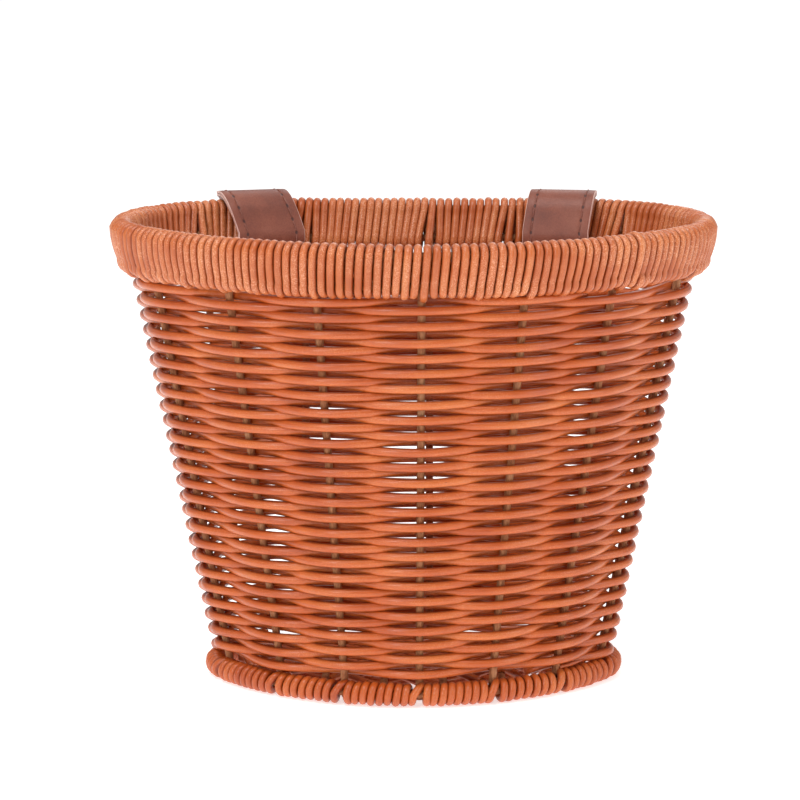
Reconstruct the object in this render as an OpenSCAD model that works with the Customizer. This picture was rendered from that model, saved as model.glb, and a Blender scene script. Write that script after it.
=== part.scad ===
// D-shaped wicker basket that hangs from a bicycle handlebar by two buckled leather straps.
// Origin: middle of the footprint, on the surface that the basket stands on.
// +Z up, +X across the basket, +Y towards the flat back, where the handlebar is.

/* [Basket] */
// Width over the rim
rim_w = 270; // [260:5:290]
// Radius of the two back corners of the rim
corner_r = 71; // [67:1:75]
// How far the front arc's centre lies behind the corners' centres
front_set = 48; // [44:1:52]
// Height of the basket
height = 210; // [195:5:230]
// How much smaller the foot is than the rim, all round
taper = 40; // [36:1:44]
// Height of the wrapped rim band
rim_h = 24; // [20:1:28]

/* [Cane and wire] */
// Diameter of the woven cane
cane_d = 3.7; // [3.5:0.1:4]
// Diameter of the steel wire in the hoops, stakes and base ribs
wire_d = 3.4; // [3:0.1:3.6]

/* [Straps] */
// Where the left strap crosses the rim
left_x = -71; // [-73:1:-70]
// Where the right strap crosses the rim
right_x = 66; // [64:1:67]
// Width of the straps
strap_w = 30; // [24:1:30]
// Thickness of the face leather and of the lining, each
leather_t = 1.2; // [1:0.1:1.4]
// Diameter of the handlebar that the straps close round
bar_d = 25.4; // [22.2:0.1:26]
// Gap between the handlebar and the back of the rim
bar_gap = 1.7; // [0.5:0.1:3]
// Height of the handlebar's axis
bar_z = 182; // [180:1:184]

/* [Buckles] */
// Distance from the heel bar to the front bar
buckle_l = 18; // [16:0.5:20]
// Diameter of the buckle's wire
buckle_d = 3; // [2.8:0.1:3.2]
// Diameter of the prong's wire
prong_d = 2.2; // [2:0.1:2.4]

/* [Hidden] */
$fn = 64;

cane_colour = "#d2784f";
wire_colour = "#96603a";
face_colour = "#8c5547";
lining_colour = "#c9a08c";
steel_colour = "#b8b4a8";

// The D: two corner arcs, a flat back and a wide front arc that touches both corners
side_x = rim_w / 2 - corner_r;
front_r = corner_r + norm([side_x, front_set]);
front_a = atan2(front_set, side_x);

wrap_r = wire_d / 2 + cane_d;
top_z = height - wrap_r;
low_z = height - rim_h + wrap_r;
foot_z = wrap_r;
slope = taper / (top_z - foot_z);
tilt = atan(slope);
// Inset of the hoops, and of the stakes just inside them, from the rim's outline at a height
function hoop_in(z) = wrap_r + slope * (top_z - z);
function stake_in(z) = hoop_in(z) + wire_d / cos(tilt);

// Half the thickness of a woven wall: one cane each side of a wire
weave_t = wire_d / 2 + cane_d;
fit = 0.1;
tunnel = 0.8;
// Where the stakes stand, measured along their line at the rim from the middle of the front.
// They are set by hand, wider at the back, and leave the straps a gap on each side.
stake_s = [3.5, 49, 94, 142, 190, 237, 289, 326, -283.5, -232, -183, -135, -86, -42.5];
rib_x = [13, 39, 68];
rib_z = foot_z + wire_d;
base_in = stake_in(foot_z) + weave_t + 0.6;

// Sweeps a profile round the D. Its x is measured outwards from the rim's outline, its y is up.
// Each arc is a full turn cut by the planes through its centre, so neighbours share a face.
module d_sweep() {
    far = 4 * rim_w;
    dir = [side_x, -front_set] / norm([side_x, front_set]) * far;
    translate([-side_x, 0, 0]) rotate([90, 0, 90]) linear_extrude(2 * side_x)
        translate([corner_r, 0]) children();
    for (s = [0, 1]) mirror([s, 0, 0]) translate([side_x, 0, 0]) intersection() {
        rotate_extrude() translate([corner_r, 0]) children();
        translate([0, 0, -1]) linear_extrude(height + 2)
            polygon([[0, 0], dir, [far, 0], [far, far], [0, far]]);
    }
    translate([0, front_set, 0]) intersection() {
        rotate_extrude() translate([front_r, 0]) children();
        translate([0, 0, -1]) linear_extrude(height + 2)
            polygon([[0, 0], [-dir.x, dir.y], [-dir.x, -far], [dir.x, -far], dir]);
    }
}

// [arc centre x, arc centre y, angle, arc radius] of a point on the stakes' line at the rim,
// at a distance s along it from the middle of the front, positive to the right
top_in = stake_in(top_z);
front_l = (front_r - top_in) * (90 - front_a) * PI / 180;
corner_l = (corner_r - top_in) * (90 + front_a) * PI / 180;
half_l = front_l + corner_l + side_x;
function d_right(s) =
    s < front_l ? [0, front_set, -90 + s / (front_r - top_in) * 180 / PI, front_r]
    : s < front_l + corner_l
        ? [side_x, 0, (s - front_l) / (corner_r - top_in) * 180 / PI - front_a, corner_r]
    : [half_l - s, 0, 90, corner_r];
function mirrored(p) = [-p[0], p[1], 180 - p[2], p[3]];

module hoop(z) d_sweep() translate([-hoop_in(z), z]) circle(d = wire_d);

// The upright wires, or with more the tunnels they leave in what is woven round them
module stake_rods(more = 0) {
    z0 = 2.4 - more;
    z1 = height - 14 + more;
    for (s = stake_s) let (p = s < 0 ? mirrored(d_right(-s)) : d_right(s))
        translate([p[0], p[1], 0]) rotate([0, 0, p[2]]) translate([p[3] - stake_in(z0), 0, z0])
            rotate([0, tilt, 0]) cylinder(h = (z1 - z0) / cos(tilt), d = wire_d + more);
}

function foot_front_y(x) = front_set - sqrt(pow(front_r - hoop_in(foot_z), 2) - x * x);
function foot_back_y(x) = abs(x) <= side_x ? corner_r - hoop_in(foot_z)
    : sqrt(pow(corner_r - hoop_in(foot_z), 2) - pow(abs(x) - side_x, 2));
module rib_rods(more = 0)
    for (s = [-1, 1], x = rib_x) let (y0 = foot_front_y(x), y1 = foot_back_y(x))
        translate([s * x, y0, rib_z]) rotate([-90, 0, 0]) cylinder(h = y1 - y0, d = wire_d + more);

// A round-ended bar from p to q, as a profile
module capsule(p, q, r) {
    dip = 0.2;
    translate(p) circle(r);
    translate(q) circle(r);
    translate(p) rotate(atan2(q.y - p.y, q.x - p.x)) translate([0, dip - r])
        square([norm(q - p), 2 * (r - dip)]);
}

module upper_rim_hoop() color(wire_colour) hoop(top_z);
module lower_rim_hoop() color(wire_colour) hoop(low_z);
module foot_hoop() color(wire_colour) hoop(foot_z);
module wall_stakes() color(wire_colour) stake_rods();
module base_ribs() color(wire_colour) rib_rods();

// One long cane wound round both rim hoops, as the hollow band it makes. It is pressed on to
// the stakes' ends, which stand in it.
module rim_wrap() color(cane_colour) d_sweep() difference() {
    capsule([-hoop_in(top_z), top_z], [-hoop_in(low_z), low_z], wrap_r);
    capsule([-hoop_in(top_z), top_z], [-hoop_in(low_z), low_z], wire_d / 2 + fit / 2);
}

// The woven wall, with a gap below the rim where each strap is threaded through
weave_z0 = foot_z + wrap_r;
weave_z1 = low_z - wrap_r;
strap_play = 3;
module wall_weave() color(cane_colour) difference() {
    d_sweep() polygon([
        for (e = [[weave_z0, 1], [weave_z1, 1], [weave_z1, -1], [weave_z0, -1]])
            [e[1] * weave_t / cos(tilt) - stake_in(e[0]), e[0]]
    ]);
    stake_rods(tunnel);
    for (x = [left_x, right_x]) translate([x - strap_w / 2 - strap_play - 1.7, corner_r - 26, weave_z1 - 13])
        cube([strap_w + 2 * strap_play + 3.4, 26, 14]);
}

module foot_wrap() color(cane_colour) difference() {
    d_sweep() translate([-hoop_in(foot_z), foot_z]) difference() {
        circle(wrap_r);
        circle(d = wire_d + fit);
    }
    stake_rods(tunnel);
    rib_rods(tunnel);
}

// The woven floor: a band round the D and the piece of disc that it leaves
module base_weave() color(cane_colour) difference() {
    union() {
        d_sweep() translate([-corner_r, rib_z - weave_t]) square([corner_r - base_in, 2 * weave_t]);
        translate([0, 0, rib_z - weave_t]) linear_extrude(2 * weave_t) intersection() {
            translate([0, front_set]) circle(front_r - corner_r);
            translate([-rim_w / 2, -rim_w]) square([rim_w, rim_w]);
        }
    }
    rib_rods(tunnel);
}

// Straps, drawn in the plane across the handlebar as [y, z]. Each is wound round three circles:
// one over the rim's upper hoop, one inside its lower hoop, and the handlebar.
strap_t = 2 * leather_t;
bar_r = bar_d / 2;
over = [corner_r - 7.6, height - 7.8];
over_r = 9.3;
under = [corner_r - 12.2, height - 17];
under_r = 7.4;
bar = [corner_r + bar_gap + bar_r, bar_z];
function polar(c, r, a) = c + r * [cos(a), sin(a)];
// Direction of the normal to the line that touches two circles on the same side of both
function touch(p, rp, q, rq, side) = atan2(q.y - p.y, q.x - p.x) + side * acos((rp - rq) / norm(q - p));
a_top = touch(over, over_r, bar, bar_r, 1);
a_bot = touch(under, under_r, bar, bar_r, -1);
a_in = touch(under, under_r, over, over_r, 1);

// The buckle: its heel bar sits in a fold of the face leather above the handlebar. s runs from
// there towards the rim, h stands off the strap's inner face.
eye_r = buckle_d / 2 + 0.05;
fold_r = eye_r + leather_t;
function on_top(s, h) = polar(polar(bar, bar_r + h, a_top), s, a_top + 90);
heel = on_top(0, fold_r + fit);
toe = on_top(buckle_l, strap_t + 0.3 + buckle_d / 2);
a_fold = a_top - acos((bar_r + strap_t - fold_r) / norm(heel - bar));
// The strap's tail rises over the heel bar, comes down on the strap behind it and ends there
lap_r = bar_r + strap_t + fit;
rise_s = buckle_l - 3;
rise_r = 4.6;
rise_a = asin(rise_r / norm([rise_s, fold_r + fit])) + atan2(fold_r + fit, rise_s);
a_rise = a_top + rise_a;
a_lap = a_top - acos((lap_r - rise_r) / norm(heel - bar));
a_end = -80;
keeper_a = [-60, -28];
keeper_t = 1.4;

// Points along an arc, both ends included
function arc_points(c, r, a0, a1) = let (n = ceil(abs(a1 - a0) / 5))
    [for (i = [0 : n]) polar(c, r, a0 + (a1 - a0) * i / n)];
// From the handlebar's underside, through the wall, up inside the rim and over it
function loop_points(d) = concat(
    arc_points(under, under_r + d, a_bot + 360, a_in), arc_points(over, over_r + d, a_in, a_top)
);
// On through the buckle, over the heel bar and down the back to the tail's end
function tail_points(d) = concat(
    [on_top(rise_s + d * tan(rise_a / 2), d)],
    arc_points(heel, rise_r + d, a_rise, a_lap), arc_points(bar, lap_r + d, a_lap, a_end)
);
function strap_points(d, a_start) =
    concat(arc_points(bar, bar_r + d, a_start, a_bot), loop_points(d), tail_points(d));
function backwards(v) = [for (i = [len(v) - 1 : -1 : 0]) v[i]];

module across(x, w) translate([x - w / 2, 0, 0]) rotate([90, 0, 90]) linear_extrude(w) children();
// A piece of a ring round the handlebar
module sector(r0, r1, a0, a1) translate(bar) intersection() {
    difference() {
        circle(r1);
        circle(r0);
    }
    polygon(concat([[0, 0]], arc_points([0, 0], 2 * r1, a0, a1)));
}

// Oblong hole in the tail that the prong comes up through
module prong_hole(x) {
    hole = on_top(8.2, 5);
    translate([x, hole.x, hole.y]) rotate([a_top + rise_a - 90, 0, 0]) cube([3.4, 10, 9], center = true);
}
// Slot in the fold for the prong's ring
module fold_slot(x) translate([x - 1.7, heel.x, heel.y]) rotate([0, 90, 0])
    cylinder(h = 3.4, r = rise_r - 0.7);
// Where the keeper's ends are sewn in between face and lining
module keeper_seat(x) across(x, strap_w + 1)
    sector(bar_r + leather_t - 0.3, bar_r + leather_t + 0.3, keeper_a[0], keeper_a[1]);

module strap_face(x) color(face_colour) difference() {
    across(x, strap_w) polygon(concat(
        arc_points(heel, fold_r, a_fold + 230, a_fold), strap_points(strap_t, a_fold),
        backwards(strap_points(leather_t, a_top - 16))
    ));
    translate([x - strap_w, heel.x, heel.y]) rotate([0, 90, 0]) cylinder(h = 2 * strap_w, r = eye_r);
    prong_hole(x);
    fold_slot(x);
    keeper_seat(x);
}
module strap_lining(x) color(lining_colour) difference() {
    across(x, strap_w) polygon(concat(
        strap_points(leather_t, a_top - 16),
        backwards(concat(
            arc_points(bar, bar_r - 0.6, a_top - 16, a_bot), [polar(bar, bar_r, a_bot)],
            loop_points(0), tail_points(0)
        ))
    ));
    translate([x - strap_w, bar.x, bar.y]) rotate([0, 90, 0]) cylinder(h = 2 * strap_w, r = bar_r);
    prong_hole(x);
    keeper_seat(x);
}
// Two rows of thread that hold face and lining together
module strap_stitching(x) color(face_colour) for (s = [-1, 1])
    across(x + s * (strap_w / 2 - 4), 0.6) polygon(concat(
        arc_points(bar, bar_r + strap_t + 0.2, a_end - 3, a_bot), loop_points(strap_t + 0.2),
        backwards(concat(arc_points(bar, bar_r + strap_t, a_end - 3, a_bot), loop_points(strap_t)))
    ));
// Leather loop, sewn to the strap, that holds the tail down
module strap_keeper(x) color(face_colour) difference() {
    across(x, strap_w + 0.6 + 2 * keeper_t) sector(
        bar_r + leather_t - 0.3, lap_r + strap_t + fit + keeper_t, keeper_a[0], keeper_a[1]
    );
    across(x, strap_w + 0.6)
        sector(bar_r + leather_t + 0.3, lap_r + strap_t + fit, keeper_a[0] - 2, keeper_a[1] + 2);
}
module buckle_frame(x) color(steel_colour) {
    half = strap_w / 2 + 1 + buckle_d;
    for (p = [heel, toe]) translate([x - half, p.x, p.y]) rotate([0, 90, 0]) cylinder(h = 2 * half, d = buckle_d);
    for (s = [-1, 1]) translate([x + s * (half - buckle_d / 2), heel.x, heel.y])
        rotate([atan2(toe.y - heel.y, toe.x - heel.x) - 90, 0, 0])
            cylinder(h = norm(toe - heel), d = buckle_d - 0.5);
}
// A ring round the heel bar and a pin that rests on the front bar
module buckle_prong(x) color(steel_colour) {
    gap = (buckle_d + prong_d) / 2 + 0.05;
    lean = atan2(toe.y - heel.y, toe.x - heel.x) - asin(gap / norm(toe - heel));
    translate([x, heel.x, heel.y]) rotate([lean - 90, 0, 0]) difference() {
        union() {
            translate([-prong_d / 2, 0, 0]) rotate([0, 90, 0]) cylinder(h = prong_d, r = fold_r);
            cylinder(h = buckle_l + 1.6, d = prong_d);
            translate([0, 0, buckle_l + 1.6]) sphere(d = prong_d);
        }
        translate([-prong_d, 0, 0]) rotate([0, 90, 0]) cylinder(h = 2 * prong_d, r = eye_r);
    }
}

upper_rim_hoop();
lower_rim_hoop();
foot_hoop();
wall_stakes();
base_ribs();
rim_wrap();
wall_weave();
foot_wrap();
base_weave();
strap_face(left_x);  // left_strap_face
strap_lining(left_x);  // left_strap_lining
strap_stitching(left_x);  // left_strap_stitching
strap_keeper(left_x);  // left_strap_keeper
buckle_frame(left_x);  // left_buckle_frame
buckle_prong(left_x);  // left_buckle_prong
strap_face(right_x);  // right_strap_face
strap_lining(right_x);  // right_strap_lining
strap_stitching(right_x);  // right_strap_stitching
strap_keeper(right_x);  // right_strap_keeper
buckle_frame(right_x);  // right_buckle_frame
buckle_prong(right_x);  // right_buckle_prong
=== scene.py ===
import math

import bpy
import numpy as np
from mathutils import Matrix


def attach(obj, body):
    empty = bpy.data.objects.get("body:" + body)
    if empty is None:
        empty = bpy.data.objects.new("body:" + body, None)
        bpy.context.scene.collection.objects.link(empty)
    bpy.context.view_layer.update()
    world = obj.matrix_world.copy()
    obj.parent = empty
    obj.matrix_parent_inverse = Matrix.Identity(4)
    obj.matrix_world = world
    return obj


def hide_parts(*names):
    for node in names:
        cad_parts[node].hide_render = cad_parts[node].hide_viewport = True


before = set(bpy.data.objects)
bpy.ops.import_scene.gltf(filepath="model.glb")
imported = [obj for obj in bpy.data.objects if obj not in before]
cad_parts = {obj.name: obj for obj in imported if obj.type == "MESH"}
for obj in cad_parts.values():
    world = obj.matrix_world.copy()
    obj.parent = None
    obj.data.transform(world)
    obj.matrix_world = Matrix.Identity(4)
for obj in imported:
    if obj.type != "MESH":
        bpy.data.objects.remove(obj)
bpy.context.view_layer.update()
bpy.ops.object.select_all(action="DESELECT")
mm = 0.001

# ---------------------------------------------------------------------------------------------
# Camera, floor and light. The basket stands on a pale floor that runs on into a white
# surround, under one broad soft light overhead and weaker ones at its sides.
view_pitch = 0.1823
camera_data = bpy.data.cameras.new("camera")
camera_data.lens = 139.9
camera_data.sensor_width = 36
camera_data.shift_x = -0.0169
camera_data.clip_start, camera_data.clip_end = 0.05, 200
camera = bpy.data.objects.new("camera", camera_data)
camera.location = (0, -1.375, 0.3796)
camera.rotation_euler = (math.pi / 2 - view_pitch, 0, 0)
bpy.context.scene.collection.objects.link(camera)
bpy.context.scene.camera = camera
bpy.context.scene.view_settings.view_transform = "Standard"

bpy.ops.mesh.primitive_circle_add(vertices=96, radius=60, fill_type="NGON", location=(0, 0, 0))
floor = bpy.context.object
floor.name = "floor"
floor.location.z = -0.0002
floor_paint = bpy.data.materials.new("floor_paint")
floor_paint.use_nodes = True
floor_shader = floor_paint.node_tree.nodes["Principled BSDF"]
floor_shader.inputs["Base Color"].default_value = (0.93, 0.93, 0.93, 1)
floor_shader.inputs["Emission Color"].default_value = (1, 1, 1, 1)
floor_shader.inputs["Emission Strength"].default_value = 0.6
floor_shader.inputs["Roughness"].default_value = 0.9
floor_shader.inputs["Specular IOR Level"].default_value = 0.1
floor.data.materials.append(floor_paint)

surround = bpy.data.worlds.new("surround")
surround.use_nodes = True
surround.node_tree.nodes["Background"].inputs["Color"].default_value = (1, 1, 1, 1)
surround.node_tree.nodes["Background"].inputs["Strength"].default_value = 0.46
bpy.context.scene.world = surround
for lamp_name, place, aim, size, watts in (
    ("overhead_light", (-0.25, -0.45, 1.5), (0, 0, 0.1), 1.0, 12.5),
    ("front_light", (-1.05, -1.6, 0.85), (0, 0, 0.12), 0.4, 9.0),
    ("side_light", (1.5, -0.7, 0.7), (0, 0, 0.12), 0.9, 5.0),
    ("back_light", (0.3, 1.3, 1.1), (0, 0, 0.2), 0.9, 4.0),
):
    lamp_data = bpy.data.lights.new(lamp_name, "AREA")
    lamp_data.shape, lamp_data.size, lamp_data.energy = "DISK", size, watts
    lamp = bpy.data.objects.new(lamp_name, lamp_data)
    lamp.location = place
    away = np.array(place) - np.array(aim)
    lamp.rotation_euler = (
        math.acos(away[2] / np.linalg.norm(away)), 0, math.atan2(away[1], away[0]) + math.pi / 2)
    bpy.context.scene.collection.objects.link(lamp)


# ---------------------------------------------------------------------------------------------
# Hoops, stakes and base ribs. Round steel wire with a thin brown paper-like coat, rubbed
# lighter in streaks along it. The CAD solids already have their shape, so only the coat is new.
class Value:
    """What one node puts out. Sums on it add the Math nodes that work them out."""

    def __init__(self, finish, socket):
        self.finish, self.socket = finish, socket

    def __add__(self, other): return self.finish.sum_of("ADD", self, other)
    def __radd__(self, other): return self.finish.sum_of("ADD", other, self)
    def __sub__(self, other): return self.finish.sum_of("SUBTRACT", self, other)
    def __rsub__(self, other): return self.finish.sum_of("SUBTRACT", other, self)
    def __mul__(self, other): return self.finish.sum_of("MULTIPLY", self, other)
    def __rmul__(self, other): return self.finish.sum_of("MULTIPLY", other, self)
    def __pow__(self, other): return self.finish.sum_of("POWER", self, other)


class Finish:
    """A material in the making: a Principled shader, and the nodes that vary it."""

    def __init__(self, name, **fixed):
        self.material = bpy.data.materials.new(name)
        self.material.use_nodes = True
        self.tree = self.material.node_tree
        self.shader = self.tree.nodes["Principled BSDF"]
        for socket, value in fixed.items():
            self.shader.inputs[socket.replace("_", " ")].default_value = value

    def node(self, kind, settings=None, sockets=None, output=0):
        made = self.tree.nodes.new(kind)
        for key, value in (settings or {}).items():
            if key == "stops":
                while len(made.color_ramp.elements) < len(value):
                    made.color_ramp.elements.new(0.5)
                for element, (place, colour) in zip(made.color_ramp.elements, value):
                    element.position, element.color = place, (*colour, 1)
            else:
                setattr(made, key, value)
        for key, value in (sockets or {}).items():
            if isinstance(value, Value):
                self.tree.links.new(value.socket, made.inputs[key])
            else:
                made.inputs[key].default_value = value
        return Value(self, made.outputs[output])

    def sum_of(self, operation, *terms):
        return self.node("ShaderNodeMath", {"operation": operation}, dict(enumerate(terms)))

    def here(self):
        return self.node("ShaderNodeTexCoord", output="Object")

    def carried(self, name):
        return self.node("ShaderNodeAttribute", {"attribute_name": name}, output="Vector")

    def grain(self, place, stretch, detail=3.0, roughness=0.55, output="Fac"):
        """Noise, with stretch giving its lumps per metre along x, y and z of place."""
        scaled = self.node(
            "ShaderNodeVectorMath", {"operation": "MULTIPLY"}, {0: place, 1: stretch})
        return self.node("ShaderNodeTexNoise", None, {
            "Vector": scaled, "Scale": 1.0, "Detail": detail, "Roughness": roughness}, output)

    def ramp(self, value, *stops):
        return self.node("ShaderNodeValToRGB", {"stops": stops}, {"Fac": value}, "Color")

    def clamped(self, value, low, high):
        """0 where value is at low and 1 where it is at high, smooth between."""
        return self.node("ShaderNodeMapRange", {"interpolation_type": "SMOOTHSTEP"}, {
            "Value": value, "From Min": low, "From Max": high})

    def mixed(self, share, first, second, blend="MIX"):
        return self.node("ShaderNodeMix", {"data_type": "RGBA", "blend_type": blend}, {
            0: share, 6: first, 7: second}, 2)

    def wear(self, colour=None, roughness=None, height=None, depth=0.0001, metal=None):
        for socket, value in (
                ("Base Color", colour), ("Roughness", roughness), ("Metallic", metal)):
            if value is not None:
                self.tree.links.new(value.socket, self.shader.inputs[socket])
        if height is not None:
            bump = self.node("ShaderNodeBump", None, {
                "Strength": 1.0, "Distance": depth, "Height": height}, "Normal")
            self.tree.links.new(bump.socket, self.shader.inputs["Normal"])
        return self.material


def painted(red, green, blue):
    """A colour given as it looks on a screen, 0 to 255, as the shader's linear numbers."""
    return tuple(
        c / 12.92 if c <= 0.04045 else ((c + 0.055) / 1.055) ** 2.4
        for c in (red / 255, green / 255, blue / 255))


coated_wire = Finish("brown_coated_wire", Specular_IOR_Level=0.35)
place = coated_wire.here()
streak = coated_wire.grain(place, (900, 900, 60), 4)
rub = coated_wire.grain(place, (130, 130, 90), 2)
fleck = coated_wire.grain(place, (2200, 2200, 500), 2)
coat = coated_wire.ramp(
    streak * 0.6 + fleck * 0.4,
    (0.30, painted(118, 68, 40)), (0.48, painted(160, 100, 62)), (0.68, painted(198, 140, 98)))
coat = coated_wire.mixed(
    coated_wire.clamped(rub, 0.52, 0.72) * 0.5, coat, (*painted(192, 146, 108), 1))
coated_wire.wear(coat, 0.55 + 0.3 * streak, streak * 0.6 + fleck * 0.4, 0.00025)
for node in ("upper_rim_hoop", "lower_rim_hoop", "foot_hoop", "wall_stakes", "base_ribs"):
    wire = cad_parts[node]
    wire.data.materials.clear()
    wire.data.materials.append(coated_wire.material)

wire_d, cane_d = 3.4 * mm, 3.7 * mm
wrap_r = wire_d / 2 + cane_d
height, rim_h, taper = 210 * mm, 24 * mm, 40 * mm
corner_r, side_x, front_set = 71 * mm, 64 * mm, 48 * mm
front_r = corner_r + math.hypot(side_x, front_set)
front_a = math.atan2(front_set, side_x)
top_z, low_z, foot_z = height - wrap_r, height - rim_h + wrap_r, wrap_r
slope = taper / (top_z - foot_z)
tilt = math.atan(slope)
stake_s = sorted(s * mm for s in (
    3.5, 49, 94, 142, 190, 237, 289, 326, -283.5, -232, -183, -135, -86, -42.5))


def hoop_in(z):
    return wrap_r + slope * (top_z - z)


def stake_in(z):
    return hoop_in(z) + wire_d / math.cos(tilt)


stakes_in = stake_in(top_z)
front_l = (front_r - stakes_in) * (math.pi / 2 - front_a)
corner_l = (corner_r - stakes_in) * (math.pi / 2 + front_a)
half_l = front_l + corner_l + side_x
around = 2 * half_l


def on_d(s, inset, z):
    """Points at distances s along the D from the middle of its front, measured on the stakes'
    line at the rim and positive to the right, and the outward directions there."""
    s = np.asarray(s, float) % around
    left = s > half_l
    t = np.where(left, around - s, s)
    front, corner = t < front_l, (t >= front_l) & (t < front_l + corner_l)
    angle = np.where(
        front, t / (front_r - stakes_in) - math.pi / 2,
        np.where(corner, (t - front_l) / (corner_r - stakes_in) - front_a, math.pi / 2))
    middle_x = np.where(front, 0, np.where(corner, side_x, half_l - t))
    middle_y = np.where(front, front_set, 0)
    reach = np.where(front, front_r, corner_r) - inset
    flip = np.where(left, -1, 1)
    out = np.stack([flip * np.cos(angle), np.sin(angle), 0 * angle], -1)
    spot = np.stack([
        flip * (middle_x + reach * np.cos(angle)), middle_y + reach * np.sin(angle),
        z + 0 * angle], -1)
    return spot, out


# ---------------------------------------------------------------------------------------------
# Wrapped foot. One long round cane of orange-brown plastic wound tight round the foot hoop.
# Each turn runs up outside; at a stake it crosses over slantwise and leaves a small gap.
def add_piece(name, points, faces, lie):
    """A smooth piece from its points and faces, with its own straight lie kept on it."""
    mesh = bpy.data.meshes.new(name)
    mesh.from_pydata(points, [], faces)
    mesh.attributes.new("lie", "FLOAT_VECTOR", "POINT").data.foreach_set("vector", np.ravel(lie))
    mesh.polygons.foreach_set("use_smooth", np.ones(len(mesh.polygons), bool))
    piece = bpy.data.objects.new(name, mesh)
    bpy.context.scene.collection.objects.link(piece)
    return piece


def lay_cane(name, line, outward, thick, sides=10, flat=1.0, closed=False):
    """A cane along a line of points, with its own straight lie kept on it for the grain."""
    line, outward = np.asarray(line, float), np.asarray(outward, float)
    ahead = np.roll(line, -1, 0) - np.roll(line, 1, 0)
    if not closed:
        ahead[0], ahead[-1] = line[1] - line[0], line[-1] - line[-2]
    ahead /= np.linalg.norm(ahead, axis=1)[:, None]
    up = outward - (outward * ahead).sum(1)[:, None] * ahead
    up /= np.linalg.norm(up, axis=1)[:, None]
    side = np.cross(ahead, up)
    step = np.linalg.norm(np.diff(line, axis=0), axis=1)
    gone = np.concatenate([[0], np.cumsum(step)])
    thick = np.broadcast_to(np.asarray(thick, float), (len(line),)) / 2
    turn = np.linspace(0, 2 * math.pi, sides, endpoint=False)
    across = flat * np.sin(turn)[None, :, None] * side[:, None]
    ring = np.cos(turn)[None, :, None] * up[:, None] + across
    points = (line[:, None] + thick[:, None, None] * ring).reshape(-1, 3)
    lie = np.stack(np.broadcast_arrays(
        gone[:, None], thick[:, None] * np.cos(turn), thick[:, None] * np.sin(turn)), -1)
    lie = lie.reshape(-1, 3)
    rows = len(line)
    first = np.arange(rows if closed else rows - 1)[:, None] * sides
    after = (first + sides) % (rows * sides)
    k, k1 = np.arange(sides), (np.arange(sides) + 1) % sides
    quads = np.stack([first + k, after + k, after + k1, first + k1], -1).reshape(-1, 4).tolist()
    if not closed:
        for end, way in ((0, -1), (rows - 1, 1)):
            tip = len(points)
            cap = line[end] + way * 0.35 * thick[end] * ahead[end]
            points, lie = np.vstack([points, cap]), np.vstack([lie, [gone[end], 0, 0]])
            base = end * sides
            for a, b in zip(k, k1):
                quads.append([base + a, base + b, tip] if way > 0 else [base + b, base + a, tip])
    return add_piece(name, points.tolist(), quads, lie)


def wavy(rng, s, wavelengths, swing):
    """A slow random wander along s, as in work done by hand."""
    total = 0 * s
    for w in wavelengths:
        total = total + rng.normal() * np.sin(2 * math.pi * (s / w + rng.random()))
    return swing * total / math.sqrt(len(wavelengths))


def cane_finish(name, light, middle, dark, shine, pale_speck_and_glint):
    cane = Finish(name, Specular_IOR_Level=0.42, Coat_Weight=0.3, Coat_Roughness=0.2)
    lie, place = cane.carried("lie"), cane.here()
    drift = cane.grain(lie, (14, 90, 90), 2)
    patch = cane.grain(place, (38, 38, 60), 3)
    streak = cane.grain(lie, (110, 1900, 1900), 3)
    speck = cane.grain(place, (2300, 2300, 2300), 2, 0.7)
    tone = drift * 0.34 + patch * 0.3 + streak * 0.2 + speck * 0.16
    colour = cane.ramp(tone, (0.34, dark), (0.5, middle), (0.64, light))
    # Pale specks: partly the cane's own chalky speckle, partly painted glints of highlight
    chalk_and_glint = cane.clamped(speck, 0.5, 0.68) * cane.clamped(patch, 0.35, 0.6)
    colour = cane.mixed(chalk_and_glint * pale_speck_and_glint, colour, (*painted(250, 194, 158), 1))
    # Painted shade: where a cane's side faces its neighbours it is darkened towards a deep
    # red-brown, as the shade in the gaps between canes
    facing = cane.sum_of("ABSOLUTE", cane.node("ShaderNodeSeparateXYZ", None, {0: lie}, "Y"))
    painted_gap_shade = 1 - cane.clamped(facing, 0.2 * mm, 1.35 * mm)
    colour = cane.mixed(painted_gap_shade * 0.55, colour, (*painted(118, 34, 10), 1))
    smudge = cane.clamped(cane.grain(place, (330, 330, 900), 2), 0.72, 0.8)
    colour = cane.mixed(smudge * 0.35, colour, (*painted(120, 52, 30), 1))
    return cane.wear(
        colour, shine + 0.16 * speck + 0.14 * streak, streak * 0.45 + speck * 0.55, 0.00009)


wall_cane = cane_finish(
    "orange_cane", painted(208, 111, 48), painted(191, 88, 29), painted(160, 62, 16), 0.22, 0.14)
# The rim's wraps are the same cane as the wall's, painted a little paler and with far more of the
# pale specks: painted light and glints on the rim
rim_cane = cane_finish(
    "rim_cane", painted(210, 124, 68), painted(191, 97, 43), painted(164, 72, 25), 0.26, 0.75)


def turn_of(low, high, r):
    """One turn round two rings as (outward, z) steps from the foot of its outer run, with how
    far along it each step lies and the way it faces. Rings in one place make a circle."""
    run = np.array(high) - np.array(low)
    length = float(np.hypot(*run))
    lean = math.atan2(-run[0], run[1]) if length > 0 else 0
    steps = []
    outer = 6 if length > 0 else 0
    for i in range(outer):
        steps.append((np.array(low) + run * i / outer, 0.0, i / outer * length))
    for i in range(9):
        steps.append((np.array(high), math.pi * i / 9, length + r * math.pi * i / 9))
    for i in range(outer):
        steps.append((np.array(high) - run * i / outer, math.pi,
                      length + r * math.pi + i / outer * length))
    for i in range(9):
        steps.append((np.array(low), math.pi + math.pi * i / 9,
                      2 * length + r * math.pi + r * math.pi * i / 9))
    whole = 2 * length + 2 * math.pi * r
    return [(c[0] + r * math.cos(a - lean), c[1] + r * math.sin(a - lean),
             a - lean, d / whole) for c, a, d in steps]


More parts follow.
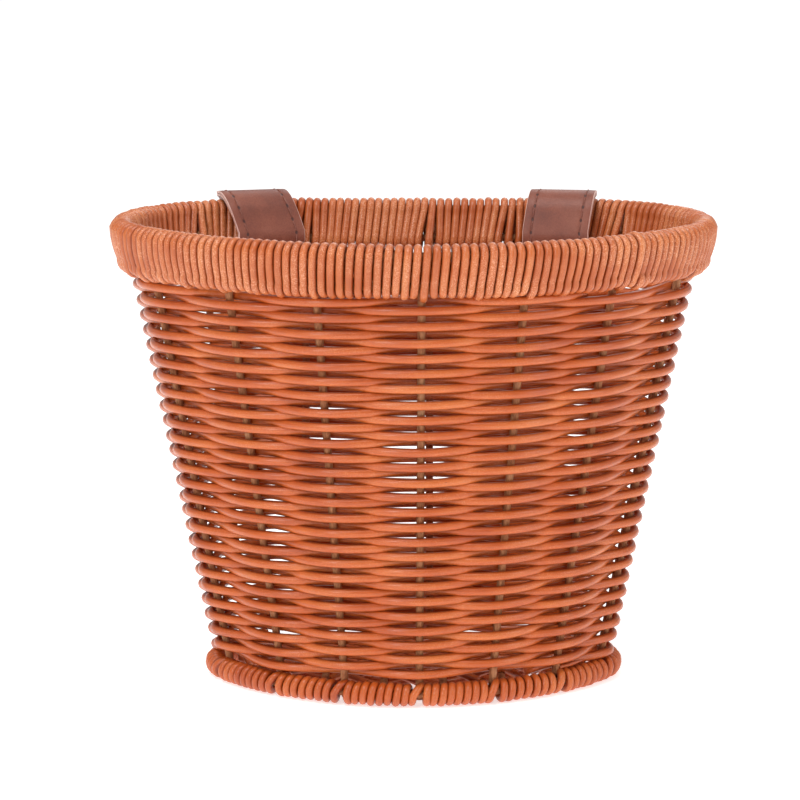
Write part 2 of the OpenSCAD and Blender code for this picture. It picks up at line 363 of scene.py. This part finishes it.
foot_pitch, stake_room, past_stake = 3.72 * mm, 5.6 * mm, 3.0 * mm
crossing, crossed_by = 4.6 * mm, 0.42
foot_rng = np.random.default_rng(5)
coil = turn_of((-hoop_in(foot_z), foot_z), (-hoop_in(foot_z), foot_z), (wire_d + cane_d) / 2)
foot_share = (front_r - hoop_in(foot_z)) / (front_r - stakes_in)
corner_share = (corner_r - hoop_in(foot_z)) / (corner_r - stakes_in)


def foot_length(s):
    """Distance along the foot hoop for a distance along the D."""
    t = np.abs(s)
    length = np.where(
        t < front_l, t * foot_share,
        np.where(t < front_l + corner_l, front_l * foot_share + (t - front_l) * corner_share,
                 front_l * foot_share + corner_l * corner_share + t - front_l - corner_l))
    return np.sign(s) * length


table_s = np.linspace(-half_l, half_l, 4001)
table_foot = foot_length(table_s)
foot_round = table_foot[-1] - table_foot[0]
foot_stakes = foot_length(np.array(stake_s))
starts = []
for here, following in zip(foot_stakes, np.append(foot_stakes[1:], foot_stakes[0] + foot_round)):
    free = following - here - stake_room
    turns = round(free / foot_pitch) + 1
    starts += list(here + past_stake + free * np.arange(turns) / (turns - 1)
                   + foot_rng.normal(0, 0.1 * mm, turns))
starts.append(starts[0] + foot_round - 1.2 * mm)
line, facing = [], []
for k in range(len(starts) - 1):
    lift = foot_rng.normal(0.0, 0.12 * mm)
    advance = starts[k + 1] - starts[k]
    for out, z, angle, share in coil:
        # A turn that crosses a stake does so on its outer run, the others all the way round
        at = starts[k] + advance * (min(1.0, share / crossed_by) if advance > crossing else share)
        s = np.interp((at - table_foot[0]) % foot_round + table_foot[0], table_foot, table_s)
        spot, way = on_d(s, -out - lift * math.cos(angle), z + lift * math.sin(angle))
        line.append(spot)
        facing.append(way * math.cos(angle) + np.array([0, 0, math.sin(angle)]))
foot_coil = lay_cane("foot_coil", line, facing, cane_d * 0.985, 10)
foot_coil.data.materials.append(wall_cane)
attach(foot_coil, "basket")
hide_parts("foot_wrap")

# ---------------------------------------------------------------------------------------------
# Woven floor. One cane goes to and fro across the six base ribs, over one and under the next,
# and doubles back at each end just inside the foot.
rib_z = foot_z + wire_d
floor_in = stake_in(foot_z) + wrap_r
ribs = np.array([-68, -39, -13, 13, 39, 68]) * mm
row_step, past_ribs = 3.62 * mm, 30 * mm
front_y = front_set - (front_r - floor_in) + 2.2 * mm
back_y = corner_r - floor_in - 2.2 * mm
rows = int((back_y - front_y) / row_step) + 1
floor_rng = np.random.default_rng(8)
line = []
for row in range(rows):
    y = front_y + (back_y - front_y) * row / (rows - 1)
    reach_front = math.sqrt(max((front_r - floor_in) ** 2 - (y - front_set) ** 2, 0))
    reach_back = side_x + math.sqrt(max((corner_r - floor_in) ** 2 - y ** 2, 0)) \
        if abs(y) < corner_r - floor_in else 0
    corner_y = -(corner_r - floor_in) * math.sin(front_a)
    reach = (reach_back if y > corner_y else reach_front) - 2.0 * mm
    x = np.linspace(-reach, reach, max(12, int(2 * reach / (2.6 * mm))))
    if row % 2:
        x = x[::-1]
    phase = np.interp(x, ribs, np.arange(6), left=np.nan, right=np.nan)
    beyond = np.where(x < 0, (x - ribs[0]) / past_ribs, 5 + (x - ribs[5]) / past_ribs)
    phase = np.where(np.isnan(phase), beyond, phase)
    z = rib_z + (wire_d + cane_d) / 2 * np.cos(math.pi * (phase + row))
    sway = wavy(floor_rng, x, (0.06, 0.11, 0.17), 0.16 * mm)
    line += list(np.stack([x, y + sway, z], -1))
line = np.array(line)
floor_cane = lay_cane("floor_cane", line, np.tile([0, 0, 1.0], (len(line), 1)), cane_d, 10, 0.97)
floor_cane.data.materials.append(wall_cane)
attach(floor_cane, "basket")
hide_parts("base_weave")

# ---------------------------------------------------------------------------------------------
# Woven wall. Two round canes climb the stakes together, the one outside each stake that the
# other is inside. Under the straps the top rows are pressed down to let them through.
wall_low, wall_high = foot_z + wrap_r, low_z - wrap_r
row_pitch = 3.45 * mm
strap_at = {"left": -71 * mm, "right": 66 * mm}
places = np.array(stake_s)
weave_rng = np.random.default_rng(21)
row_lift = weave_rng.normal(0, 0.27 * mm, (64, len(places)))
for strand, other in (("weaver_one", 0), ("weaver_two", 1)):
    laps = (wall_high - wall_low - 2.6 * mm) / (2 * row_pitch)
    from_count = 0.5 + 7 * other
    counts = np.arange(from_count, from_count + laps * len(places), 1 / 10)
    whole = np.floor(counts)
    share = counts - whole
    lap = np.floor(whole / len(places))
    knots = np.append(places, places[0] + around)
    index = (whole - lap * len(places)).astype(int)
    s = knots[index] + (knots[index + 1] - knots[index]) * share + lap * around
    z = wall_low + 1.5 * mm + (counts - from_count) / len(places) * 2 * row_pitch
    held = whole.astype(int) % len(places)
    level = np.clip(lap.astype(int) * 2 + other, 0, 62)
    following = (held + 1) % len(places)
    ease = share * share * (3 - 2 * share)
    z = z + row_lift[level, held] * (1 - ease) + row_lift[level, following] * ease
    swing = (wire_d + cane_d) / 2 * np.cos(math.pi * counts) * (1 if other == 0 else -1)
    swing = swing + wavy(weave_rng, s, (0.09, 0.19, 0.35), 0.1 * mm)
    spot, way = on_d(s, 0, 0)
    low_by = np.zeros(len(s))
    for x in strap_at.values():
        near = np.clip(2.05 - np.abs(spot[:, 0] - x) / (19 * mm), 0, 1) * (spot[:, 1] > 0.03)
        low_by += near * near * (3 - 2 * near) * 4.4 * mm
    share_up = np.clip((z - (wall_high - 40 * mm)) / (40 * mm), 0, 1)
    z = z - low_by * share_up ** 1.5
    spot, way = on_d(s, hoop_in(z) + wire_d / math.cos(tilt) - swing, z)
    weaver = lay_cane(strand, spot, way, cane_d, 10, 1.07)
    weaver.data.materials.append(wall_cane)
    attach(weaver, "basket")
    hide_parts("wall_weave")

# ---------------------------------------------------------------------------------------------
# Cut end. One weaver's end, trimmed slantwise, shows outside just above the foot.
share = np.linspace(0, 1, 9)
end_z = wall_low + (0.5 + 2.2 * share) * mm
end_out = (1 + 3.4 * share) * mm
spot, way = on_d(
    (95.5 + 16 * share) * mm, hoop_in(end_z) + wire_d / math.cos(tilt) - end_out, end_z)
trimmed = np.interp(share, [0, 0.5, 1], [0.6, 0.55, 0.12])
cut_end = lay_cane("cut_end", spot, way, cane_d * trimmed, 10)
cut_end.data.materials.append(wall_cane)
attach(cut_end, "basket")

# ---------------------------------------------------------------------------------------------
# Wrapped rim. Another length of the same cane binds both rim hoops together, turn against
# turn. Inside, the turns part round the stakes' ends and leave narrow gaps beside them.
rim_pitch, raised_at, raised_by = 3.84 * mm, 97 * mm, 0.8 * mm
cover_lift, cover_lift_by_strap = 3.2, 0.6
rim_rng = np.random.default_rng(3)
binding = turn_of((-hoop_in(low_z), low_z), (-hoop_in(top_z), top_z), (wire_d + cane_d) / 2)
outer_share = next(step[3] for step in binding if step[2] > binding[0][2])
line, facing = [], []
turns = []
for here, following in zip(places, np.append(places[1:], places[0] + around)):
    middle_s = (here + following) / 2 % around
    folded = min(middle_s, around - middle_s)
    ratio = (corner_r - hoop_in(top_z)) / (corner_r - stakes_in) if folded > front_l else \
        (front_r - hoop_in(top_z)) / (front_r - stakes_in)
    count = round((following - here) * ratio / rim_pitch)
    turns += list(here + (following - here) * (np.arange(count) + 0.25) / count)
turns = np.array(turns + [turns[0] + around])
for k in range(len(turns) - 1):
    lift, drop = rim_rng.normal(0, 0.1 * mm), rim_rng.normal(0, 0.35 * mm)
    middle = turns[k] + 0.75 * (turns[k + 1] - turns[k])
    gap = (middle - places + around / 2) % around - around / 2
    nearest = gap[np.argmin(np.abs(gap))]
    beside = min(abs(on_d(middle, 0, 0)[0][0] - x) for x in strap_at.values()) < 26 * mm
    by_strap = beside and abs(half_l - middle) < 80 * mm
    covers = (abs(nearest) < 1 * mm) * (cover_lift_by_strap if by_strap else cover_lift)
    push = 0 if covers else np.sign(nearest) * 1.5 * mm * max(0, 1 - abs(nearest) / (17 * mm))
    jog = rim_rng.normal(0, 0.1 * mm)
    if abs(turns[k] - raised_at) < 2 * mm:
        lift = raised_by
    for out, z, angle, share in binding:
        inside = 0.5 - 0.5 * math.cos(angle)
        sunk = (top_z + wrap_r - z) / rim_h
        low_down = max(0, min(1, 1.9 * sunk - 0.35))
        parted = push * (inside * low_down + 0.06 * (1 - inside) * sunk)
        parted += 1.0 * mm * inside * (sunk - 0.5)
        at = turns[k] + (turns[k + 1] - turns[k]) * share + parted + jog * (1 - share) * share * 4
        grow = lift + (drop * max(0, -math.sin(angle)) if z < low_z else 0)
        grow += 0.8 * mm * math.sin(math.pi * min(1, share / outer_share))
        grow += covers * mm * inside * low_down * min(1, 2.2 * inside * inside)
        spot, way = on_d(at, -out - grow * math.cos(angle), z + grow * math.sin(angle))
        line.append(spot)
        facing.append(way * math.cos(angle) + np.array([0, 0, math.sin(angle)]))
rim_coil = lay_cane("rim_coil", line, facing, cane_d * 0.97, 10)
rim_coil.data.materials.append(rim_cane)
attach(rim_coil, "basket")
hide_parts("rim_wrap")

# ---------------------------------------------------------------------------------------------
# Straps. Two layers of smooth brown leather, sewn together along both edges: a face and a
# lining. Each strap goes under the rim, over it and round the handlebar to its buckle.
leather_t, strap_w = 1.2 * mm, 30 * mm
stitch_gap, stitch_l = 6.2 * mm, 4.4 * mm
strap_t = 2 * leather_t
bar_r, buckle_d, buckle_l = 12.7 * mm, 3 * mm, 18 * mm
over, over_r = np.array([corner_r - 7.6 * mm, height - 7.8 * mm]), 9.3 * mm
under, under_r = np.array([corner_r - 12.2 * mm, height - 17 * mm]), 7.4 * mm
bar = np.array([corner_r + 1.7 * mm + bar_r, 182 * mm])


def touch(p, rp, q, rq, side):
    """Direction of the normal to the line that touches two circles on the same side of both."""
    d = q - p
    return math.atan2(d[1], d[0]) + side * math.acos((rp - rq) / np.hypot(*d))


def polar(c, r, a):
    return c + r * np.array([math.cos(a), math.sin(a)])


def arc(c, r, start, end):
    n = max(2, math.ceil(abs(end - start) / math.radians(4)))
    return [polar(c, r, start + (end - start) * i / n) for i in range(n + 1)]


a_top = touch(over, over_r, bar, bar_r, 1)
a_bot = touch(under, under_r, bar, bar_r, -1)
a_in = touch(under, under_r, over, over_r, 1)
eye_r = buckle_d / 2 + 0.05 * mm
fold_r = eye_r + leather_t


def on_top(s, h):
    return polar(polar(bar, bar_r + h, a_top), s, a_top + math.pi / 2)


heel = on_top(0, fold_r + 0.1 * mm)
toe = on_top(buckle_l, strap_t + 0.3 * mm + buckle_d / 2)
a_fold = a_top - math.acos((bar_r + strap_t - fold_r) / np.hypot(*(heel - bar)))
lap_r, rise_s, rise_r = bar_r + strap_t + 0.1 * mm, buckle_l - 3 * mm, 4.6 * mm
rise_a = math.asin(rise_r / math.hypot(rise_s, fold_r + 0.1 * mm)) + math.atan2(
    fold_r + 0.1 * mm, rise_s)
a_rise = a_top + rise_a
a_lap = a_top - math.acos((lap_r - rise_r) / np.hypot(*(heel - bar)))
a_end = math.radians(-80)
keeper_a = (math.radians(-60), math.radians(-28))


def strap_line(d, start, folded=False):
    """The line of one layer of leather, d out from the strap's inner face."""
    folded_back = arc(heel, fold_r - leather_t / 2, a_fold + math.radians(230), a_fold)
    points = folded_back if folded else []
    points += arc(bar, bar_r + d, start, a_bot)
    points += arc(under, under_r + d, a_bot + 2 * math.pi, a_in)
    points += arc(over, over_r + d, a_in, a_top)
    points.append(on_top(rise_s + d * math.tan(rise_a / 2), d))
    points += arc(heel, rise_r + d, a_rise, a_lap) + arc(bar, lap_r + d, a_lap, a_end)
    return even(points, 0.9 * mm)


def even(points, step):
    """The same line with its points step apart and its corners eased."""
    points = np.array(points)
    gone = length_along(points)
    keep = np.concatenate([[True], np.diff(gone) > 1e-7])
    at = np.linspace(0, gone[-1], int(gone[-1] / step) + 1)
    return np.stack([np.interp(at, gone[keep], points[keep, i]) for i in (0, 1)], -1)


def eased(value, start, end):
    t = np.clip((value - start) / (end - start), 0, 1)
    return t * t * (3 - 2 * t)


def length_along(points):
    return np.concatenate([[0], np.cumsum(np.hypot(*np.diff(points, axis=0).T))])


def outward_from(yz):
    """The directions out of the strap along one of its lines."""
    ahead = np.gradient(yz, axis=0)
    ahead /= np.hypot(*ahead.T)[:, None]
    outward = np.stack([ahead[:, 1], -ahead[:, 0]], -1)
    return outward * np.sign((outward * (yz - over)).sum(1)[np.argmin(np.abs(yz - over).sum(1))])


def select_only(piece):
    bpy.ops.object.select_all(action="DESELECT")
    piece.select_set(True)
    bpy.context.view_layer.objects.active = piece


def face_outwards(piece):
    select_only(piece)
    bpy.ops.object.mode_set(mode="EDIT")
    bpy.ops.mesh.select_all(action="SELECT")
    bpy.ops.mesh.normals_make_consistent(inside=False)
    bpy.ops.object.mode_set(mode="OBJECT")


def lie_of(yz, hang, across, depth):
    """How far the leather lies from its straight course, to the side and to the back. Each
    strap crosses the rim slantwise, and inside it turns to follow the rim's curve."""
    y, z = yz[..., 0], yz[..., 1]
    apex, drift, turned = hang
    on_rim = eased(y, corner_r + 12 * mm, corner_r - 4 * mm) * eased(z, 184 * mm, 192 * mm)
    past = np.where(
        z > over[1], np.arctan2(over[0] - y, z - over[1]),
        math.pi / 2 + (over[1] - z) / (over_r + strap_t))
    aside = apex + drift * np.clip(past, -0.35, 2.1) - turned * depth
    turned = turned * eased(y, corner_r + 2 * mm, corner_r - 10 * mm)
    return on_rim * aside, on_rim * turned * (across - math.copysign(4 * mm, apex + 2.1 * drift))


def cut_layer(name, x, level, yz, hang):
    """A layer of leather along a line: its long edges are rounded and thinned, and it is
    drawn in a little along the stitching."""
    outward = outward_from(yz)
    half, r = strap_w / 2, 0.42 * mm
    flat_x = np.array([-14.58, -13.9, -12.8, -11.9, -11.3, -11.0, -10.7, -10.1, -9, -6, -3,
                       0, 3, 6, 9, 10.1, 10.7, 11.0, 11.3, 11.9, 12.8, 13.9, 14.58]) * mm
    flat_x = flat_x * half / (15 * mm)
    dip = 0.13 * mm * np.exp(-((np.abs(flat_x) - 11 * mm) / (0.45 * mm)) ** 2) \
        + 0.1 * mm * np.clip((np.abs(flat_x) - 12.6 * mm) / (2 * mm), 0, 1)
    top = leather_t / 2 - dip
    section = [(x0, h, 0) for x0, h in zip(flat_x, top)]
    edge = [(half - r + r * math.sin(a), (top[-1] - r) + r * math.cos(a), 1) for a in (0.6, 1.2)]
    low_edge = [
        (half - r + r * math.sin(a), -(leather_t / 2 - r) + r * math.cos(a), 1)
        for a in (1.94, 2.54)]
    section += edge + low_edge
    section += [(x0, -leather_t / 2, 0) for x0 in flat_x[::-1][::2]]
    section += [(-a, h, e) for a, h, e in low_edge[::-1]] + [(-a, h, e) for a, h, e in edge[::-1]]
    section = np.array(section)
    gone = length_along(yz)
    points, marks, edges = [], [], []
    for i in range(len(yz)):
        pinch = 0.25 if i in (0, len(yz) - 1) else 0
        for across, h, rim in section:
            h2 = h * (1 - pinch)
            y, z = yz[i] + outward[i] * h2
            aside, back = lie_of(yz[i], hang, across, (level + h2) * outward[i][0])
            points.append((x + across * (1 - 0.02 * (pinch > 0)) + aside, y + back, z))
            marks.append((gone[i], across, h))
            edges.append(1.0 if (rim or pinch) else 0.0)
    n, rows = len(section), len(yz)
    k, k1 = np.arange(n), (np.arange(n) + 1) % n
    first = np.arange(rows - 1)[:, None] * n
    quads = np.stack([first + k, first + k1, first + n + k1, first + n + k], -1)
    quads = quads.reshape(-1, 4).tolist()
    quads += [list(range(n))[::-1], [(rows - 1) * n + i for i in range(n)]]
    piece = add_piece(name, points, quads, marks)
    cut_edge = piece.data.attributes.new("cut_edge", "FLOAT", "POINT")
    cut_edge.data.foreach_set("value", np.array(edges))
    face_outwards(piece)
    bpy.ops.object.shade_smooth_by_angle(angle=math.radians(50))
    return piece


def punch(piece, *cutters):
    """Cuts each cutter's shape out of the leather."""
    for cutter in cutters:
        hole = piece.modifiers.new("hole", "BOOLEAN")
        hole.object, hole.operation, hole.solver = cutter, "DIFFERENCE", "EXACT"
        select_only(piece)
        bpy.ops.object.modifier_apply(modifier=hole.name)


def leather_finish(name, light, middle, dark, edge_colour):
    leather = Finish(name, Specular_IOR_Level=0.5, Coat_Weight=0.12, Coat_Roughness=0.32)
    place, lie = leather.here(), leather.carried("lie")
    cut = leather.node("ShaderNodeAttribute", {"attribute_name": "cut_edge"}, output="Fac")
    split = leather.node("ShaderNodeSeparateXYZ", None, {0: lie}, "X")
    across = leather.node("ShaderNodeSeparateXYZ", None, {0: lie}, "Y")
    cloud = leather.grain(place, (70, 70, 70), 3)
    fine = leather.grain(place, (1500, 1500, 1500), 4, 0.6)
    pore = leather.node("ShaderNodeTexVoronoi", {"feature": "DISTANCE_TO_EDGE"}, {
        "Vector": place, "Scale": 1500.0}, "Distance")
    tone = cloud * 0.62 + fine * 0.38
    colour = leather.ramp(tone, (0.36, dark), (0.5, middle), (0.66, light))
    from_row = leather.sum_of("ABSOLUTE", leather.sum_of("ABSOLUTE", across) - 11 * mm)
    along_hole = leather.sum_of(
        "ABSOLUTE", leather.sum_of("WRAP", split, stitch_gap / 2, -stitch_gap / 2))
    away = leather.sum_of("SQRT", from_row * from_row + along_hole * along_hole * 0.45)
    hole = 1 - leather.clamped(away, 0.4 * mm, 0.7 * mm)
    groove = 1 - leather.clamped(from_row, 0.25 * mm, 0.8 * mm)
    # Painted shade: the grooves along the stitch rows are darkened a little, and the stitch holes,
    # which are not cut, are painted dark as the shade inside them
    colour = leather.mixed(groove * 0.08, colour, (*painted(96, 50, 42), 1))
    colour = leather.mixed(hole * 0.85, colour, (*painted(56, 16, 10), 1))
    bare = leather.clamped(cut, 0.3, 0.75) * (0.7 + 0.4 * fine)
    colour = leather.mixed(bare, colour, (*edge_colour, 1))
    height_of = fine * 0.5 + leather.clamped(pore, 0.0, 0.12) * 0.5 - hole * 2.5 - groove * 0.6
    return leather.wear(colour, 0.34 + 0.22 * fine + 0.1 * cloud, height_of, 0.00006)


face_leather = leather_finish(
    "brown_leather", painted(147, 84, 63), painted(131, 68, 48), painted(113, 55, 38),
    painted(232, 194, 182))
lining_leather = leather_finish(
    "lining_leather", painted(142, 82, 62), painted(124, 64, 46), painted(104, 51, 36),
    painted(226, 186, 172))
thread = Finish("brown_thread", Roughness=0.7)
twist = thread.node("ShaderNodeTexWave", {"wave_type": "BANDS", "bands_direction": "DIAGONAL"}, {
    "Vector": thread.carried("lie"), "Scale": 1600.0, "Distortion": 1.0}, "Fac")
thread.wear(thread.ramp(
    twist, (0.0, painted(112, 62, 50)), (0.6, painted(150, 92, 76)), (1.0, painted(170, 112, 96))),
    0.6 + 0.2 * twist, twist, 0.00008)
steel = Finish("nickel_wire", Specular_IOR_Level=0.5)
steel_place = steel.here()
rub = steel.grain(steel_place, (60, 900, 900), 3)
bloom = steel.grain(steel_place, (160, 160, 160), 3)
steel.wear(
    steel.ramp(
        rub * 0.5 + bloom * 0.5, (0.35, painted(168, 160, 148)), (0.6, painted(214, 208, 198))),
    0.2 + 0.22 * bloom, rub, 0.00002, 0.88 + 0.12 * bloom)

# How far each strap lies aside on top of the rim, how much more for a radian further round it,
# and its turn inside the rim
strap_hang = {"left": (-3.9 * mm, 4.3 * mm, 0.36), "right": (3.7 * mm, -1.9 * mm, -0.22)}
for hand, x in strap_at.items():
    hang = strap_hang[hand]
    # Cutters for the oblong hole in the tail, and for the slot in the fold at the buckle
    hole_at = on_top(8.2 * mm, 5 * mm)
    bpy.ops.mesh.primitive_cube_add(size=1, location=(0, 0, 0))
    tail_cutter = bpy.context.object
    tail_cutter.scale = (3.4 * mm, 10 * mm, 9 * mm)
    tail_cutter.rotation_euler = (a_top + rise_a - math.pi / 2, 0, 0)
    tail_cutter.location = (x, hole_at[0], hole_at[1])
    bpy.ops.object.transform_apply(location=True, rotation=True, scale=True)
    bpy.ops.mesh.primitive_cylinder_add(
        vertices=48, radius=rise_r - 0.7 * mm, depth=3.4 * mm, rotation=(0, math.pi / 2, 0),
        location=(x, heel[0], heel[1]))
    fold_cutter = bpy.context.object
    bpy.ops.object.transform_apply(location=True, rotation=True, scale=True)

    face = cut_layer(
        hand + "_face", x, leather_t * 1.5, strap_line(leather_t * 1.5, a_fold, True), hang)
    punch(face, tail_cutter, fold_cutter)
    face.data.materials.clear()
    face.data.materials.append(face_leather)
    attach(face, hand + "_strap")
    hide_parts(hand + "_strap_face")
    lining = cut_layer(
        hand + "_lining", x, leather_t * 0.5,
        strap_line(leather_t * 0.5, a_top - math.radians(16)), hang)
    punch(lining, tail_cutter)
    lining.data.materials.clear()
    lining.data.materials.append(lining_leather)
    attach(lining, hand + "_strap")
    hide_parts(hand + "_strap_lining")
    for cutter in (tail_cutter, fold_cutter):
        bpy.data.objects.remove(cutter)

# ---------------------------------------------------------------------------------------------
# Stitching. Two rows of brown thread along each strap, its stitches longer than the gaps
# between them, each one pulled down at its ends into its two holes.
level = leather_t * 1.5
step = np.linspace(-1, 1, 7)
for hand, x in strap_at.items():
    yz = strap_line(level, a_fold, True)
    outward, gone = outward_from(yz), length_along(yz)
    points, quads, lies = [], [], []
    for middle in np.arange(2.5, (gone[-1] - 4 * mm) / stitch_gap - 0.5) * stitch_gap:
        at = middle + step * stitch_l / 2
        y, z, out_y, out_z = (
            np.interp(at, gone, column)
            for column in (yz[:, 0], yz[:, 1], outward[:, 0], outward[:, 1]))
        rise = leather_t / 2 + (0.02 - 0.42 * np.abs(step) ** 3) * mm
        for edge in (-11 * mm, 11 * mm):
            base = len(points)
            aside, back = lie_of(
                np.stack([y, z], -1), strap_hang[hand], edge, (level + rise) * out_y)
            for i in range(7):
                thick = (0.34 if 0 < i < 6 else 0.2) * mm
                for a in np.linspace(0, 2 * math.pi, 6, endpoint=False):
                    h = rise[i] + thick * math.cos(a)
                    points.append((
                        x + edge + aside[i] + thick * math.sin(a),
                        y[i] + back[i] + out_y[i] * h, z[i] + out_z[i] * h))
                    lies.append((at[i], thick * math.cos(a), thick * math.sin(a)))
            for i in range(6):
                for j in range(6):
                    quads.append([base + i * 6 + j, base + i * 6 + (j + 1) % 6,
                                  base + (i + 1) * 6 + (j + 1) % 6, base + (i + 1) * 6 + j])
            quads += [[base + j for j in range(5, -1, -1)], [base + 36 + j for j in range(6)]]
    stitches = add_piece(hand + "_stitches", points, quads, lies)
    face_outwards(stitches)
    stitches.data.materials.append(thread.material)
    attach(stitches, hand + "_strap")
    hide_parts(hand + "_strap_stitching")

# ---------------------------------------------------------------------------------------------
# Keepers. A loop of the face leather on each strap, its ends sewn in between face and lining,
# that holds the tail down behind the handlebar.
keeper_t = 1.4 * mm
for hand, x in strap_at.items():
    low_r, high_r = bar_r + leather_t, lap_r + strap_t + 0.1 * mm + keeper_t / 2
    half = strap_w / 2 + 0.3 * mm + keeper_t / 2
    bpy.ops.mesh.primitive_plane_add(size=2, location=(0, 0, 0))
    keeper = bpy.context.object
    keeper.name = hand + "_keeper"
    keeper.scale = (half, (high_r - low_r) / 2, 1)
    bpy.ops.object.transform_apply(scale=True)
    bpy.ops.object.mode_set(mode="EDIT")
    bpy.ops.mesh.delete(type="ONLY_FACE")
    bpy.ops.mesh.select_all(action="SELECT")
    bpy.ops.mesh.bevel(offset=1.5 * mm, segments=4, affect="VERTICES")
    bpy.ops.mesh.select_all(action="SELECT")
    bpy.ops.mesh.subdivide(number_cuts=3)
    bpy.ops.object.mode_set(mode="OBJECT")
    loop = [v.co.copy() for v in keeper.data.vertices]
    order = sorted(
        range(len(loop)), key=lambda i: math.atan2(loop[i].y / (high_r - low_r), loop[i].x / half))
    points, quads, bends = [], [], 13
    for b in range(bends):
        a = keeper_a[0] + (keeper_a[1] - keeper_a[0]) * b / (bends - 1)
        for i in order:
            r = (low_r + high_r) / 2 + loop[i].y
            across = loop[i].x * (1 - 0.012 * math.cos((b / (bends - 1) - 0.5) * math.pi))
            points.append((x + across, bar[0] + r * math.cos(a), bar[1] + r * math.sin(a)))
    n = len(order)
    for b in range(bends - 1):
        for i in range(n):
            after = (i + 1) % n
            quads.append([b * n + i, b * n + after, (b + 1) * n + after, (b + 1) * n + i])
    keeper.data.clear_geometry()
    keeper.data.from_pydata(points, [], quads)
    keeper.data.polygons.foreach_set("use_smooth", np.ones(len(quads), bool))
    for kind, settings in (
        ("SOLIDIFY", {"thickness": keeper_t - 0.06 * mm, "offset": 0}),
        ("BEVEL", {"width": 0.3 * mm, "segments": 2, "limit_method": "ANGLE"}),
    ):
        change = keeper.modifiers.new(kind.lower(), kind)
        for key, value in settings.items():
            setattr(change, key, value)
        bpy.ops.object.modifier_apply(modifier=change.name)
    face_outwards(keeper)
    keeper.data.materials.append(face_leather)
    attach(keeper, hand + "_strap")
    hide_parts(hand + "_strap_keeper")

# ---------------------------------------------------------------------------------------------
# Buckles. Nickel-plated wire bent into a rounded frame, the heel bar held in the fold of the
# face leather, and a prong whose eye turns on that bar and whose tip rests on the front bar.
for hand, x in strap_at.items():
    half = strap_w / 2 + 1 * mm + buckle_d / 2
    bend = 3.2 * mm
    back_run = (toe - heel) / np.hypot(*(toe - heel))
    span = np.hypot(*(toe - heel))
    outline = []
    for cx, cd, start in ((half - bend, span - bend, 0), (-half + bend, span - bend, 90),
                          (-half + bend, bend, 180), (half - bend, bend, 270)):
        for i in range(9):
            a = math.radians(start + 90 * i / 8)
            outline.append((cx + bend * math.cos(a), cd + bend * math.sin(a)))
    full = []
    for (x0, d0), (x1, d1) in zip(outline, outline[1:] + outline[:1]):
        pieces = max(1, round(math.hypot(x1 - x0, d1 - d0) / (1.6 * mm)))
        full += [(x0 + (x1 - x0) * i / pieces, d0 + (d1 - d0) * i / pieces) for i in range(pieces)]
    line = [(x + a, *(heel + back_run * d)) for a, d in full]
    across = np.array([0, back_run[1], -back_run[0]])
    frame_wire = lay_cane(
        hand + "_buckle", line, np.tile(across, (len(line), 1)), buckle_d * 0.99, 16, 1, True)
    frame_wire.data.materials.append(steel.material)
    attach(frame_wire, hand + "_buckle")
    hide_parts(hand + "_buckle_frame")

    gap = (buckle_d + 2.2 * mm) / 2 + 0.05 * mm
    lean = math.atan2(toe[1] - heel[1], toe[0] - heel[0]) - math.asin(gap / span)
    along = np.array([math.cos(lean), math.sin(lean)])
    off = np.array([math.sin(lean), -math.cos(lean)])
    wire_r = np.array([0.58] * 26 + [0.75, 0.95, 1.05] + [1.1] * 12 + [0.95, 0.7, 0.35]) * mm
    eye = eye_r + 0.6 * mm
    line = []
    for i in range(26):
        a = math.radians(-50 - 310 * (1 - i / 25))
        line.append(heel + eye * (math.cos(a) * along + math.sin(a) * off))
    last = line[-1]
    for i in range(1, 19):
        share = i / 18
        d = share ** 0.9 * (buckle_l + 2.5 * mm)
        target = heel + along * d
        ease = min(1, i / 4)
        line.append(last * (1 - ease) + target * ease)
    line = [(x, y, z) for y, z in line]
    prong = lay_cane(
        hand + "_prong", line, np.tile([1.0, 0, 0], (len(line), 1)), wire_r * 2, 14)
    prong.data.materials.append(steel.material)
    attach(prong, hand + "_prong")
    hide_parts(hand + "_buckle_prong")
